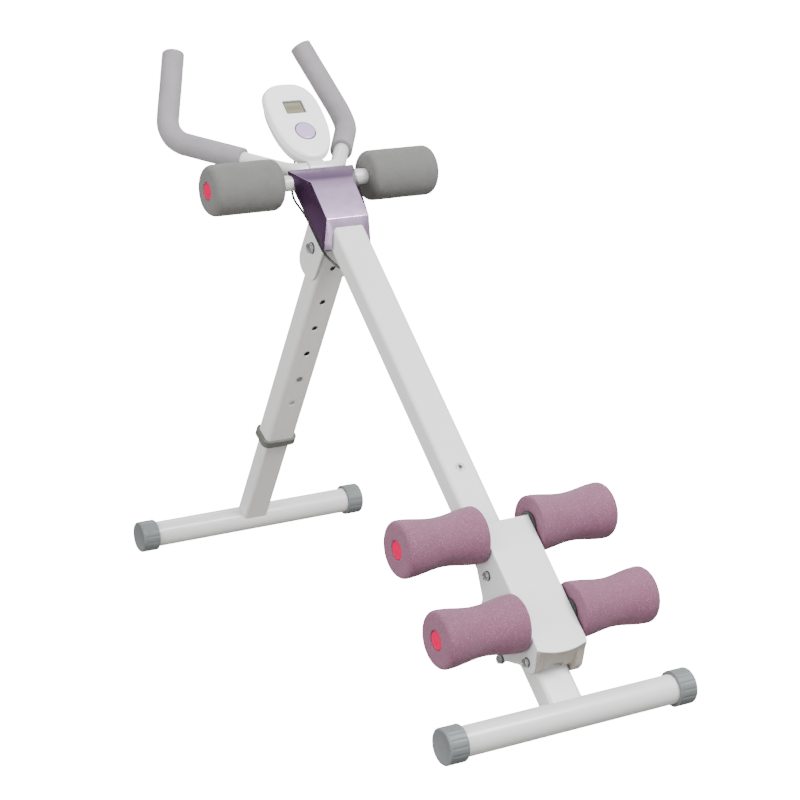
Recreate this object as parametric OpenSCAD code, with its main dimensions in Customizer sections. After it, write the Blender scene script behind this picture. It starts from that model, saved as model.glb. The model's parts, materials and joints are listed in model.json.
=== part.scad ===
// Folding ab crunch machine: a kneeling carriage rolls up and down an inclined beam.
// Frame: +X across the machine (its left-right axis), -Y the low front end, +Y the high rear end,
// +Z up. The origin is on the floor, midway along the machine. Millimetres.
// "s" is a distance up the beam and "n" is the height above the beam's top face.

/* [Beam] */
// Slope of the beam above the floor
beam_angle = 42.5; // [40:0.5:45]
// Width of the beam's box section
beam_w = 60; // [56:1:62]
// Depth of the beam's box section
beam_h = 40; // [38:1:42]
// Height of the beam's top face above the floor, over the front foot's axis
beam_rise = 49; // [46:0.5:52]
// Length of the beam up to the elbow bar's axis
beam_len = 1056; // [1050:1:1062]

/* [Feet] */
// Length of the front foot over its caps
front_foot_len = 460; // [400:5:520]
// Length of the rear foot over its caps
rear_foot_len = 480; // [420:5:540]
// Distance between the axes of the two feet
foot_spacing = 1108; // [1104:1:1112]
// Outer diameter of both foot tubes
foot_d = 48; // [44:0.5:50]
// Outer diameter of the foot caps
cap_d = 59; // [57:1:62]
// Length of a foot cap along its tube
cap_len = 33; // [24:1:45]

/* [Rear leg] */
// Width of the outer leg's box section
leg_w = 59; // [55:0.5:59]
// Depth of the outer leg's box section
leg_h = 42; // [40:1:42]
// Length of the outer leg below its pivot bolt
leg_len = 465; // [445:1:470]
// Distance between the height holes
hole_pitch = 63.3; // [60:0.1:64]

/* [Carriage] */
// Width of the carriage cover over its flanges
cover_w = 93; // [91:1:96]
// Length of one foam roller
foam_len = 146; // [130:1:150]
// Radius of a carriage roller at its ends
foam_end_r = 47; // [42:0.5:48]
// Radius of a carriage roller at its waist
foam_waist_r = 40; // [36:0.5:42]
// Travel of the carriage up the beam
travel = 440; // [300:10:440]

/* [Head] */
// Radius of an elbow roller
elbow_r = 45; // [40:0.5:46]
// Distance from the centre plane to the outer end of an elbow roller
elbow_reach = 222; // [210:1:230]
// Outer diameter of the handlebar tubes
bar_d = 28; // [26:0.5:29]
// Outer diameter of the handle grips
grip_d = 41; // [36:0.5:42]
// Half-width of the console at its widest
console_half_w = 55; // [50:1:57]

/* [Hidden] */
$fn = 48;

// Feet
foot_z = 28;
foot_r = foot_d / 2;
foot_wall = 2;
cap_r = cap_d / 2;
cap_end = 3;
fit_gap = 0.1;

// Box sections
box_wall = 2;
beam_corner = 7;
leg_corner = 8;

// Pivot of the rear leg, measured from the front foot's axis
pivot_y = 767;
pivot_z = 633.8;
leg_back = -12;
leg_top = 17;
leg_run = [foot_spacing - pivot_y, pivot_z - foot_z];
leg_angle = atan(leg_run[0] / leg_run[1]) + asin(-leg_back / norm(leg_run));
foot_depth = sqrt(pow(norm(leg_run), 2) - pow(leg_back, 2));
shift_y = -foot_spacing / 2;
inner_w = leg_w - 8;
inner_h = leg_h - 8;
inner_corner = 6;
hole_count = 5;
first_hole = 106;
pin_hole = 3;
lock_hole = 25;
height_hole_r = 6;
height_pin_r = height_hole_r - 0.05;
pin_depth = first_hole + pin_hole * hole_pitch;
inner_top = pin_depth + height_hole_r;
pivot_r = 5;
plate_t = 3;
cheek_x = beam_w / 2 + plate_t;
washer_t = 1.6;

// Wheel stops and the screws of the head end, in beam coordinates
stop_len = 17;
stop_h = 20;
bracket_screw_s = [1005, 1030];

// Carriage, in beam coordinates
sheet = 2;
roller_n = 37;
roller_s = [133, 293.5];
roller_tube_r = 14;
roller_wall = 1.5;
plate_top = roller_n + roller_tube_r + sheet;
plate_s = [73, 303];
top_axle_s = [75, 231];
under_axle_s = [115, 191];
wheel_r = 12.2;
wheel_gap = 0.3;
top_axle_n = wheel_r + wheel_gap;
under_axle_n = -beam_h - wheel_r - wheel_gap;
axle_r = 4;
run_gap = 0.05;
wheel_half = 24;
groove_half = 10;
groove_r = 7;
bolt_head = 5.3;
bulge = 10;
flange_x = cover_w / 2 - sheet;
foam_in = 50;
foam_out = foam_in + foam_len;
roller_tube_end = foam_out - 4;
stop_s_low = under_axle_s[0] - wheel_r - wheel_gap - stop_len / 2;
stop_s_high = under_axle_s[1] + travel + wheel_r + wheel_gap + stop_len / 2;
axles = [for (s = top_axle_s) [s, top_axle_n], for (s = under_axle_s) [s, under_axle_n]];

// Side outline of a flange, [s, n, radius]
flange_outline = [
    [plate_s[0] + 2, plate_top - 1, 2], [53, 13, 9], [68, -7, 9], [82, -10, 9], [107, -44, 10],
    [108, -59.5, 5], [200, -61, 9], [213, -30, 10], [262, -6, 10], [plate_s[1] + 6, 18, 14],
    [plate_s[1], plate_top - 1, 2]
];

// Head
elbow_n = -beam_h / 2;
elbow_tube_r = 14;
elbow_in = 88;
plug_flange = 3;
bar_r = bar_d / 2;
grip_r = grip_d / 2;
bar_wall = 1.8;
bar_sides = 24;
bar_bend_r = [40, 62];
bar_centre = [0, 816.2, 762.9];
bar_root = [46, 816.2, 762.9];
bar_corner = [187, 1036, 803];
bar_tip = [131, 1118, 947];
grip_from = 100;
console_s = 1190;
console_down = 98;
console_up = 76;
console_face = 1;
console_split = -13;
console_floor = -beam_h;
shell = 2.5;
button_s = 1152;
button_r = 18;
button_travel = 1.5;
lcd_s = 1208;
sensor_s = 436;

// Coordinates of the elbow bar's axis, and the middle of the handlebar in beam coordinates
elbow_y = beam_len * cos(beam_angle) - elbow_n * sin(beam_angle);
elbow_z = beam_rise + beam_len * sin(beam_angle) + elbow_n * cos(beam_angle);
elbow_end = elbow_reach - 4;
bar_s = bar_centre[1] * cos(beam_angle) + (bar_centre[2] - beam_rise) * sin(beam_angle);
bar_n = (bar_centre[2] - beam_rise) * cos(beam_angle) - bar_centre[1] * sin(beam_angle);

// Corners of the head cover on one side, [x, y, z]: ledge, face, skirt and the open back edge
cover_front = [[66, 794, 770], [41, 750, 753], [41, 694, 697], [46, 696, 643]];
cover_back = [[46, 747, 681], [48, 776, 709], [50, 791, 727]];

// Sensor cable [x, s, n]: out of the console's back, outside the pivot bracket, then through a
// hole in the beam's underside and down inside the beam to the reed switch
cable_hole = [-21, 882];
cable_r = 2.2;
cable_route = [
    [-21, 1118, -38.5], [-22, 1111, -50], [-26, 1096, -65], [-31, 1078, -73], [-35.6, 1055, -71],
    [-35.6, 1030, -64], [-35.6, 1005, -58.5], [-35.6, 975, -56.5], [-35.6, 945, -55.5],
    [-35.6, 926, -53.5], [-34, 911, -50.5], [-29.5, 898, -49], [-24, 888, -48.6], [-21.2, 883, -45],
    [-21, 881.6, -40], [-20.7, 879, -34], [-19, 866, -30], [-16, 840, -30], [-14, 800, -31],
    [-14, 740, -31], [-14, 680, -31], [-14, 620, -31], [-14, 560, -31], [-13, 510, -30],
    [-9, 480, -24], [-4, 462, -12], [-3, 452, -8]
];

// Axis of a front-to-back reference frame whose y = 0 is the front foot's axis
module placed() translate([0, shift_y, 0]) children();

// Beam frame: local Y runs up the beam (s), local Z stands off its top face (n)
module on_beam() placed() translate([0, 0, beam_rise]) rotate([beam_angle, 0, 0]) children();

// Leg frame: origin on the pivot, local Z runs up the leg, local Y points to the rear
module on_leg() placed() translate([0, pivot_y, pivot_z]) rotate([leg_angle, 0, 0]) children();

// A cylinder along X between x0 and x1 at (y, z)
module rod_x(x0, x1, r, y = 0, z = 0)
    translate([min(x0, x1), y, z]) rotate([0, 90, 0]) cylinder(r = r, h = abs(x1 - x0));

// A tube along X
module tube_x(x0, x1, r, wall, y = 0, z = 0) difference() {
    rod_x(x0, x1, r, y, z);
    rod_x(min(x0, x1) - 1, max(x0, x1) + 1, r - wall, y, z);
}

// A hexagon prism along X, width af across its flats
module hex_x(x0, x1, af, y = 0, z = 0)
    translate([x0, y, z]) rotate([0, 90, 0]) cylinder(r = af / sqrt(3), h = x1 - x0, $fn = 6);

// A rectangle with round corners, centred
module round_rect(w, h, r) {
    square([w - 2 * r, h], center = true);
    square([w, h - 2 * r], center = true);
    for (x = [-1, 1], y = [-1, 1]) translate([x * (w / 2 - r), y * (h / 2 - r)]) circle(r);
}

// A box tube along local Z from z0 to z1
module box_tube(w, h, r, wall, z0, z1) translate([0, 0, z0]) difference() {
    linear_extrude(z1 - z0) round_rect(w, h, r);
    translate([0, 0, -1]) linear_extrude(z1 - z0 + 2) round_rect(w - 2 * wall, h - 2 * wall, r - wall);
}

// Points of a polygon whose corners [x, y, radius] are rounded
function unit(v) = v / norm(v);
function corner_arc(a, b, c, r, steps) =
    let (u = unit(a - b), v = unit(c - b), half = acos(u * v) / 2, back = r / tan(half),
         mid = b + unit(u + v) * r / sin(half), p = b + u * back, q = b + v * back)
    [for (i = [0 : steps]) mid + r * unit((p - mid) * (1 - i / steps) + (q - mid) * i / steps)];
function xy(p) = [p[0], p[1]];
function rounded(points, steps = 6) = [
    for (i = [0 : len(points) - 1])
        let (n = len(points), a = xy(points[(i + n - 1) % n]), b = xy(points[i]),
             c = xy(points[(i + 1) % n]))
        each corner_arc(a, b, c, points[i][2], steps)
];

// Front foot ---------------------------------------------------------------------------------

module foot_tube(len, y) placed()
    tube_x(-len / 2 + cap_end, len / 2 - cap_end, foot_r, foot_wall, y, foot_z);

// A cup over the tube's end, cut flat where it rests on the floor
module foot_cap(side, len, y) placed() difference() {
    rod_x(side * len / 2, side * (len / 2 - cap_len), cap_r, y, foot_z);
    rod_x(side * (len / 2 - cap_end), side * (len / 2 - cap_len - 1), foot_r + fit_gap, y, foot_z);
    translate([-len, y - cap_r - 1, -10]) cube([2 * len, cap_d + 2, 10]);
}

module front_foot_tube() color("gainsboro") foot_tube(front_foot_len, 0);

module front_foot_caps() color("slategray") for (side = [-1, 1]) foot_cap(side, front_foot_len, 0);

// Beam ---------------------------------------------------------------------------------------

module main_beam() color("gainsboro") difference() {
    on_beam() rotate([-90, 0, 0]) translate([0, beam_h / 2, 0])
        box_tube(beam_w, beam_h, beam_corner, box_wall, -20, beam_len - 6);
    placed() rod_x(-beam_w, beam_w, foot_r, 0, foot_z);
    placed() rod_x(-beam_w, beam_w, elbow_tube_r, elbow_y, elbow_z);
    on_beam() translate([0, sensor_s, -box_wall - 1]) cylinder(r = 6, h = box_wall + 2);
    on_beam() translate([cable_hole[0], cable_hole[1], -beam_h - 1]) cylinder(r = 4, h = box_wall + 2);
    for (s = [stop_s_low, stop_s_high, each bracket_screw_s])
        on_beam() translate([0, s, -beam_h - 1]) cylinder(r = 2.6, h = box_wall + 2);
}

// A rubber buffer under the beam, against which an under wheel comes to rest
module wheel_stop(s) on_beam() difference() {
    translate([0, s, -beam_h - stop_h]) linear_extrude(stop_h) round_rect(24, stop_len, 3);
    translate([0, s, -beam_h - stop_h - 1]) cylinder(r = 5, h = 7);
    translate([0, s, -beam_h - stop_h]) cylinder(r = 2.6, h = stop_h + 1);
}

module wheel_stops() color("dimgray") for (s = [stop_s_low, stop_s_high]) wheel_stop(s);

// A pan-head screw that goes up along n, its head's top at height n
module screw_up(s, n, x = 0, len = 22) on_beam() translate([x, s, n]) {
    cylinder(r = 4.5, h = 3);
    cylinder(r = 2.5, h = len);
}

module stop_screws() color("silver")
    for (s = [stop_s_low, stop_s_high]) screw_up(s, -beam_h - stop_h + 3);

// Counting sensor: an eyelet in the beam's top face with the reed switch behind it
module sensor_eyelet() color("silver") on_beam() translate([0, sensor_s, 0]) difference() {
    union() {
        cylinder(r = 7.6, h = 1.2);
        translate([0, 0, -box_wall]) cylinder(r = 5.9, h = box_wall + 0.5);
    }
    translate([0, 0, -box_wall - 1]) cylinder(r = 3.6, h = box_wall + 4);
}

module reed_sensor() color("black") on_beam() translate([0, sensor_s, -box_wall - 0.1]) {
    translate([-9, -14, -10]) cube([18, 28, 10]);
    cylinder(r = 3.5, h = box_wall + 0.4);
}

// Points along a Catmull-Rom curve through the route
function curve_point(a, b, c, d, t) =
    0.5 * (2 * b + (c - a) * t + (2 * a - 5 * b + 4 * c - d) * pow(t, 2)
        + (3 * b - a - 3 * c + d) * pow(t, 3));
function smooth(route, steps) = [
    for (i = [0 : len(route) - 2], k = [0 : steps - 1])
        curve_point(route[max(i - 1, 0)], route[i], route[i + 1],
            route[min(i + 2, len(route) - 1)], k / steps),
    route[len(route) - 1]
];
function tangent(path, i) = unit(path[min(i + 1, len(path) - 1)] - path[max(i - 1, 0)]);
function ring(path, i, r, sides) =
    let (t = tangent(path, i), u = unit(cross(t, [0.3, 0.2, 1])), v = cross(t, u))
    [for (k = [0 : sides - 1]) path[i] + r * (cos(360 * k / sides) * u + sin(360 * k / sides) * v)];
module swept_tube(path, r, sides) {
    last = len(path) - 1;
    points = [for (i = [0 : last]) each ring(path, i, r, sides)];
    walls = [for (i = [0 : last - 1], k = [0 : sides - 1])
        let (a = i * sides + k, b = i * sides + (k + 1) % sides)
        each [[a, a + sides, b + sides], [a, b + sides, b]]];
    ends = [[for (k = [0 : sides - 1]) k], [for (k = [sides - 1 : -1 : 0]) last * sides + k]];
    polyhedron(points, concat(walls, ends), convexity = 10);
}

module sensor_cable() color("black") on_beam() swept_tube(smooth(cable_route, 3), cable_r, 8);

module cable_grommet() color("black") on_beam()
    translate([cable_hole[0], cable_hole[1], -beam_h]) difference() {
    union() {
        translate([0, 0, -2]) cylinder(r = 5.5, h = 2);
        cylinder(r = 3.9, h = box_wall);
    }
    translate([0, 0, -3]) cylinder(r = 3, h = box_wall + 4);
}

// Elbow bar ----------------------------------------------------------------------------------

module elbow_tube() color("gainsboro") placed()
    tube_x(-elbow_end, elbow_end, elbow_tube_r, roller_wall, elbow_y, elbow_z);

// A plug in a tube's end: a stem inside the tube and a flange over its end
module end_plug(side, x, tube_r, y, z) placed() difference() {
    union() {
        rod_x(side * (x - 18), side * x, tube_r - roller_wall - fit_gap, y, z);
        rod_x(side * x, side * (x + plug_flange), tube_r + 0.9, y, z);
    }
    rod_x(side * (x - 19), side * (x + 1 - plug_flange), tube_r - roller_wall - 3, y, z);
}

module elbow_plugs() color("deeppink")
    for (side = [-1, 1]) end_plug(side, elbow_end, elbow_tube_r, elbow_y, elbow_z);

// A foam sleeve on a tube along X: profile [x, r], bore and a counterbore for the plug's flange
module foam_sleeve(side, x0, x1, profile, bore_r, y, z)
    placed() translate([0, y, z]) rotate([0, side * 90, 0]) difference() {
        rotate_extrude() polygon(concat([[0, x0]], [for (p = profile) [p[1], p[0]]], [[0, x1]]));
        translate([0, 0, x0 - 1]) cylinder(r = bore_r + run_gap, h = x1 - x0 + 2);
        translate([0, 0, x1 - 4.5]) cylinder(r = bore_r + 1.6, h = 5);
    }

// Rounded ends of a foam sleeve: a quarter of an ellipse, e deep along X
function sleeve_end(x, r, e, inward) = [for (a = [0 : 15 : 90])
    let (turn = inward ? 90 - a : a, way = inward ? 1 : -1)
    [x + way * e * (1 - sin(turn)), r - e * (1 - cos(turn))]];

function elbow_profile() =
    concat(sleeve_end(elbow_in, elbow_r, 11, true), sleeve_end(elbow_reach, elbow_r, 11, false));

module elbow_roller(side) color("darkgray")
    foam_sleeve(side, elbow_in, elbow_reach, elbow_profile(), elbow_tube_r, elbow_y, elbow_z);

module elbow_roller_left() elbow_roller(-1);

module elbow_roller_right() elbow_roller(1);

// Pivot of the rear leg ----------------------------------------------------------------------

// Two cheeks on the beam's sides and a web that the open leg leans on
module pivot_bracket() color("gainsboro") on_leg() {
    for (side = [-1, 1]) difference() {
        translate([side > 0 ? beam_w / 2 : -cheek_x, 0, 0]) rotate([90, 0, 90]) linear_extrude(plate_t)
            polygon(rounded([[-32, -62, 26], [33, -62, 26], [33, 87, 6], [-40, 71, 6], [-36, 15, 12]]));
        rod_x(-beam_w, beam_w, pivot_r);
        on_leg_inverse() rod_x(-beam_w, beam_w, elbow_tube_r + 0.5, elbow_y, elbow_z);
    }
    translate([-beam_w / 2, leg_h / 2 + leg_back + 0.3, -51]) cube([beam_w, plate_t, 22]);
}

// Undoes the leg frame, so that machine coordinates can be used inside it
module on_leg_inverse() rotate([-leg_angle, 0, 0]) translate([0, -pivot_y, -pivot_z]) children();

module pivot_bolt() color("silver") on_leg() {
    rod_x(-cheek_x - washer_t, cheek_x + washer_t + 12, pivot_r);
    hex_x(-cheek_x - washer_t - 6.4, -cheek_x - washer_t, 17);
}

module pivot_nut() color("silver") on_leg() difference() {
    hex_x(cheek_x + washer_t, cheek_x + washer_t + 8, 17);
    rod_x(cheek_x, cheek_x + 20, pivot_r);
}

module pivot_washers() color("silver") on_leg() for (side = [-1, 1])
    tube_x(side * cheek_x, side * (cheek_x + washer_t), 10.5, 10.5 - pivot_r);

// A bush on the bolt inside the outer leg
module pivot_bush() color("dimgray") on_leg() tube_x(-22, 22, pivot_r + 1.7, 1.7 - run_gap);

// Head cover ---------------------------------------------------------------------------------

module cover_corner(p, side, grow, push)
    translate([side * (p[0] + grow), p[1] + push[0], p[2] + push[1]]) sphere(0.8, $fn = 8);

module cover_body(grow, front_push, back_push) hull() for (side = [-1, 1]) {
    for (p = cover_front) cover_corner(p, side, grow, front_push);
    for (p = cover_back) cover_corner(p, side, grow, back_push);
}

module head_cover() color("plum") placed() difference() {
    cover_body(0, [0, 0], [0, 0]);
    cover_body(-3, [3, -3], [30, -32]);
    translate([0, 0, beam_rise]) rotate([beam_angle, 0, 0])
        translate([0, 900, -beam_h / 2]) rotate([90, 0, 0]) linear_extrude(400, center = true)
            round_rect(beam_w + 4, beam_h + 3, beam_corner + 2);
    translate([0, 0, beam_rise]) rotate([beam_angle, 0, 0])
        translate([-beam_w / 2 - 3.5, 800, -100]) cube([beam_w + 7, 200, 80]);
    rod_x(-80, 80, elbow_tube_r + 0.6, elbow_y, elbow_z);
}

// Handlebar ----------------------------------------------------------------------------------

function flip(p, side) = [side * p[0], p[1], p[2]];
function reversed(list) = [for (i = [len(list) - 1 : -1 : 0]) list[i]];

// Directions of the arm and of the upright of the right half
arm_dir = unit(bar_corner - bar_root);
tip_dir = unit(bar_tip - bar_corner);

// Centre line of the right half from point a on the arm, or of its outer bend and upright only
function bar_outer(a, short) = concat([a], corner_arc(bar_root, bar_corner, bar_tip, bar_bend_r[1], 10),
    [bar_tip - tip_dir * short]);
function bar_half(short) = concat(corner_arc(bar_centre, bar_root, bar_corner, bar_bend_r[0], 8),
    corner_arc(bar_root, bar_corner, bar_tip, bar_bend_r[1], 10), [bar_tip - tip_dir * short]);
function bar_path(short) = concat([for (p = reversed(bar_half(short))) flip(p, -1)], bar_half(short));

// One bent tube from tip to tip
module handlebar() color("gainsboro") placed() difference() {
    swept_tube(bar_path(2), bar_r, bar_sides);
    swept_tube(bar_path(1), bar_r - bar_wall, 16);
}

// Block that ties the elbow bar, the beam's end and the handlebar together
module bar_saddle() color("gainsboro") placed() difference() {
    union() {
        rod_x(-16, 16, bar_r + 3, bar_centre[1], bar_centre[2]);
        rod_x(-16, 16, elbow_tube_r + 3, elbow_y, elbow_z);
    }
    rod_x(-20, 20, bar_r + run_gap, bar_centre[1], bar_centre[2]);
    rod_x(-20, 20, elbow_tube_r + run_gap, elbow_y, elbow_z);
    translate([0, 0, beam_rise]) rotate([beam_angle, 0, 0]) translate([-20, 1000, -beam_h])
        cube([40, beam_len - 1006.2, beam_h + 20]);
    translate([0, 0, beam_rise]) rotate([beam_angle, 0, 0])
        translate([-20, 1000, -beam_h - 20]) cube([40, 200, 20.2]);
}

// Foam over the outer half of each arm, its bend and its upright
function grip_start() = bar_root + arm_dir * grip_from;
module grip(side) color("gray") placed() difference() {
    swept_tube([for (p = bar_outer(grip_start(), 0)) flip(p, side)], grip_r, bar_sides);
    swept_tube([for (p = bar_outer(grip_start() - arm_dir, -1)) flip(p, side)],
        bar_r + 2 * fit_gap, bar_sides);
}

module grip_left() grip(-1);

module grip_right() grip(1);

// A straight rod between two points
module rod_between(p, q, r) {
    d = q - p;
    translate(p) rotate([0, acos(d[2] / norm(d)), atan2(d[1], d[0])]) cylinder(r = r, h = norm(d));
}

// A cap on each end of the bar, inside the grip's mouth
module handle_plugs() color("slategray") placed() for (side = [-1, 1])
    rod_between(flip(bar_tip - tip_dir * 1.9, side), flip(bar_tip + tip_dir * 1.5, side), bar_r);

// Console ------------------------------------------------------------------------------------

// Egg-shaped outline: a superellipse, flatter at the top than at the bottom
function signed_power(v, e) = sign(v) * pow(abs(v), e);
function egg(inset) = [for (a = [0 : 7.5 : 352.5])
    let (e = sin(a) > 0 ? 2 / 2.9 : 2 / 2.15, reach = sin(a) > 0 ? console_up : console_down)
    [(console_half_w - inset) * signed_power(cos(a), e),
     console_s + (reach - inset) * signed_power(sin(a), e)]];

module egg_slab(n0, n1, inset) translate([0, 0, n0]) linear_extrude(n1 - n0) polygon(egg(inset));

// Room for the saddle and the middle of the handlebar
module bar_gap() {
    rod_x(-16.5, 16.5, bar_r + 3.5, bar_s, bar_n);
    rod_x(-60, 60, bar_r + 0.5, bar_s, bar_n);
    translate([-60, bar_s - 40, console_floor - 1]) cube([120, 40, console_face - console_floor - 4]);
}

module console_bracket() color("gainsboro") on_beam() difference() {
    translate([0, 1090, -beam_h - plate_t]) linear_extrude(plate_t) round_rect(34, 190, 6);
    for (s = bracket_screw_s) translate([0, s, -beam_h - plate_t - 1]) cylinder(r = 2.7, h = plate_t + 2);
    for (s = [1130, 1170]) translate([0, s, -beam_h - plate_t - 1]) cylinder(r = 2.2, h = plate_t + 2);
}

module bracket_screws() color("silver") {
    for (s = bracket_screw_s) screw_up(s, -beam_h - plate_t - 3, 0, 8);
    for (s = [1130, 1170]) on_beam() translate([0, s, -beam_h - plate_t - 2.4]) {
        cylinder(r = 4, h = 2.4);
        cylinder(r = 2, h = 12);
    }
}

module console_back() color("whitesmoke") on_beam() difference() {
    union() {
        egg_slab(console_floor, console_floor + 5, 9);
        egg_slab(console_floor + 5, console_floor + 12, 4);
        egg_slab(console_floor + 12, console_split, 1);
    }
    egg_slab(console_floor + shell, console_floor + 13 + shell, 9 + shell);
    egg_slab(console_floor + 12 + shell, console_split + 1, 1 + shell);
    bar_gap();
    translate([-60, bar_s - 40, console_floor - 1]) cube([120, 56, console_split - console_floor + 2]);
    for (s = [1130, 1170]) translate([0, s, console_floor - 1]) cylinder(r = 2.2, h = 12);
    translate([-21, 1118, console_floor - 1]) cylinder(r = 3, h = 6);
    translate([-20, 1200, console_floor - 1]) cube([40, 32, shell + 2]);
}

module console_front() color("whitesmoke") on_beam() difference() {
    union() {
        egg_slab(console_split, console_face - 6, 0);
        egg_slab(console_face - 6, console_face - 2.5, 2);
        egg_slab(console_face - 2.5, console_face, 5);
    }
    egg_slab(console_split - 1, console_face - 6, 3);
    egg_slab(console_face - 7, console_face - shell, 6);
    bar_gap();
    translate([0, button_s, console_split]) cylinder(r = button_r + 2.2, h = 30);
    translate([0, lcd_s, console_face - 10]) linear_extrude(12) round_rect(40, 30, 3);
}

module lcd_window() color("black") on_beam()
    translate([0, lcd_s, console_face - shell]) linear_extrude(1.4) round_rect(39.6, 29.6, 2.8);

module lcd_module() color("darkkhaki") on_beam()
    translate([-18, lcd_s - 13, console_face - 6.5]) cube([36, 26, 3.8]);

module circuit_board() color("seagreen") on_beam()
    translate([0, 1182, console_face - 9]) linear_extrude(1.6) round_rect(66, 96, 4);

module battery_cell() color("silver") on_beam()
    translate([0, 1216, console_floor + 4.5]) cylinder(r = 12, h = 5.4);

module battery_door() color("whitesmoke") on_beam() translate([-19.7, 1200.3, console_floor])
    cube([39.4, 31.4, shell]);

module button_ring() color("dimgray") on_beam()
    translate([0, button_s, console_face - shell]) difference() {
    cylinder(r = button_r + 2, h = shell + 0.8);
    translate([0, 0, -1]) cylinder(r = button_r + 0.4, h = shell + 3);
}

module console_button() color("thistle") on_beam() translate([0, button_s, console_face - 4]) {
    cylinder(r = button_r, h = 4 + 2.6);
    translate([0, 0, -0.2]) cylinder(r = 4, h = 0.4);
}

// Rear leg -----------------------------------------------------------------------------------

module outer_leg_tube() color("gainsboro") on_leg() difference() {
    translate([0, leg_back, 0]) box_tube(leg_w, leg_h, leg_corner, box_wall, -leg_len, leg_top);
    rod_x(-leg_w, leg_w, pivot_r + run_gap);
    for (i = [0 : hole_count - 1]) translate([0, 0, -first_hole - i * hole_pitch]) rotate([90, 0, 0])
        cylinder(r = height_hole_r, h = 3 * leg_h, center = true);
    translate([0, leg_back, -lock_hole]) rotate([90, 0, 0]) cylinder(r = 5.5, h = leg_h);
}

// A collar around the outer leg's end that guides the inner leg
module leg_collar() color("slategray") on_leg() translate([0, leg_back, 0]) difference() {
    translate([0, 0, -leg_len - 5]) linear_extrude(14) round_rect(leg_w + 11, leg_h + 10, leg_corner + 5);
    translate([0, 0, -leg_len]) linear_extrude(20) round_rect(leg_w + 0.2, leg_h + 0.2, leg_corner + 0.1);
    translate([0, 0, -leg_len - 6]) linear_extrude(20)
        round_rect(inner_w + 0.6, inner_h + 0.6, inner_corner + 0.3);
}

module inner_leg_tube() color("gainsboro") difference() {
    on_leg() translate([0, leg_back, 0])
        box_tube(inner_w, inner_h, inner_corner, box_wall, -foot_depth - 20, -inner_top);
    placed() rod_x(-inner_w, inner_w, foot_r, foot_spacing, foot_z);
    on_leg()
        translate([-inner_w, leg_back - inner_h, -foot_depth - 60]) cube([2 * inner_w, 2 * inner_h, 60]);
}

module rear_foot_tube() color("gainsboro") foot_tube(rear_foot_len, foot_spacing);

module rear_foot_caps() color("slategray")
    for (side = [-1, 1]) foot_cap(side, rear_foot_len, foot_spacing);

// Height pin: pulled out to the rear
module height_pin() color("silver") on_leg() translate([0, leg_back, -pin_depth]) rotate([-90, 0, 0])
    translate([0, 0, -leg_h / 2 - 1]) cylinder(r = height_pin_r, h = leg_h + 16);

module height_knob() color("slategray") on_leg()
    translate([0, leg_back, -pin_depth]) rotate([-90, 0, 0]) difference() {
    union() {
        translate([0, 0, leg_h / 2 + 0.4]) cylinder(r = 8, h = 5);
        translate([0, 0, leg_h / 2 + 5.4]) cylinder(r = 12, h = 14);
    }
    translate([0, 0, leg_h / 2]) cylinder(r = height_pin_r, h = 15);
}

// Carriage -----------------------------------------------------------------------------------

module flange(side) difference() {
    translate([side * (flange_x + sheet / 2) - sheet / 2, 0, 0]) rotate([90, 0, 90]) linear_extrude(sheet)
        polygon(rounded(flange_outline));
    for (s = roller_s) rod_x(-cover_w, cover_w, roller_tube_r + run_gap, s, roller_n);
    for (s = top_axle_s) rod_x(-cover_w, cover_w, axle_r + run_gap, s, top_axle_n);
    for (s = under_axle_s) rod_x(-cover_w, cover_w, axle_r + run_gap, s, under_axle_n);
}

// Lower edge of the cover's top: an arc that bulges past the corners
bulge_r = (pow(cover_w / 2, 2) + pow(bulge, 2)) / (2 * bulge);
function cover_top_outline() = concat(
    [[cover_w / 2, plate_s[1]], [-cover_w / 2, plate_s[1]]],
    [for (i = [0 : 12]) let (x = -cover_w / 2 + i * cover_w / 12)
        [x, plate_s[0] - bulge + bulge_r - sqrt(pow(bulge_r, 2) - pow(x, 2))]]);

module carriage_cover() color("whitesmoke") on_beam() {
    difference() {
        translate([0, 0, plate_top - sheet - 2]) linear_extrude(sheet + 2) polygon(cover_top_outline());
        translate([0, 0, plate_top - sheet - 3]) linear_extrude(3)
            square([cover_w - 2 * sheet, 1000], center = true);
        for (s = roller_s) rod_x(-cover_w, cover_w, roller_tube_r + run_gap, s, roller_n);
        for (side = [-1, 1])
            translate([side * cover_w / 2, 0, plate_top]) rotate([-90, 0, 0]) difference() {
                translate([-2.5, -1, 0]) cube([5, 3.5, 400]);
            translate([-side * 2.5, 2.5, -1]) cylinder(r = 2.5, h = 402);
        }
    }
    for (side = [-1, 1]) intersection() {
        flange(side);
        translate([-cover_w, 0, -200]) cube([2 * cover_w, 400, 200 + plate_top - sheet - 2]);
    }
}

module roller_tube(i) color("gainsboro") on_beam()
    tube_x(-roller_tube_end, roller_tube_end, roller_tube_r, roller_wall, roller_s[i], roller_n);

module upper_roller_tube() roller_tube(1);

module lower_roller_tube() roller_tube(0);

// Washers between the flanges and the foam
module roller_spacers() color("black") on_beam() for (side = [-1, 1], s = roller_s)
    tube_x(side * cover_w / 2, side * (foam_in - 0.5), roller_tube_r + 8, 8 - run_gap, s, roller_n);

// Machine coordinates of a point in the carriage's side view
function side_y(s, n) = s * cos(beam_angle) - n * sin(beam_angle);
function side_z(s, n) = beam_rise + s * sin(beam_angle) + n * cos(beam_angle);

module roller_plugs() color("deeppink") for (side = [-1, 1], s = roller_s)
    end_plug(side, roller_tube_end, roller_tube_r, side_y(s, roller_n), side_z(s, roller_n));

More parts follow.
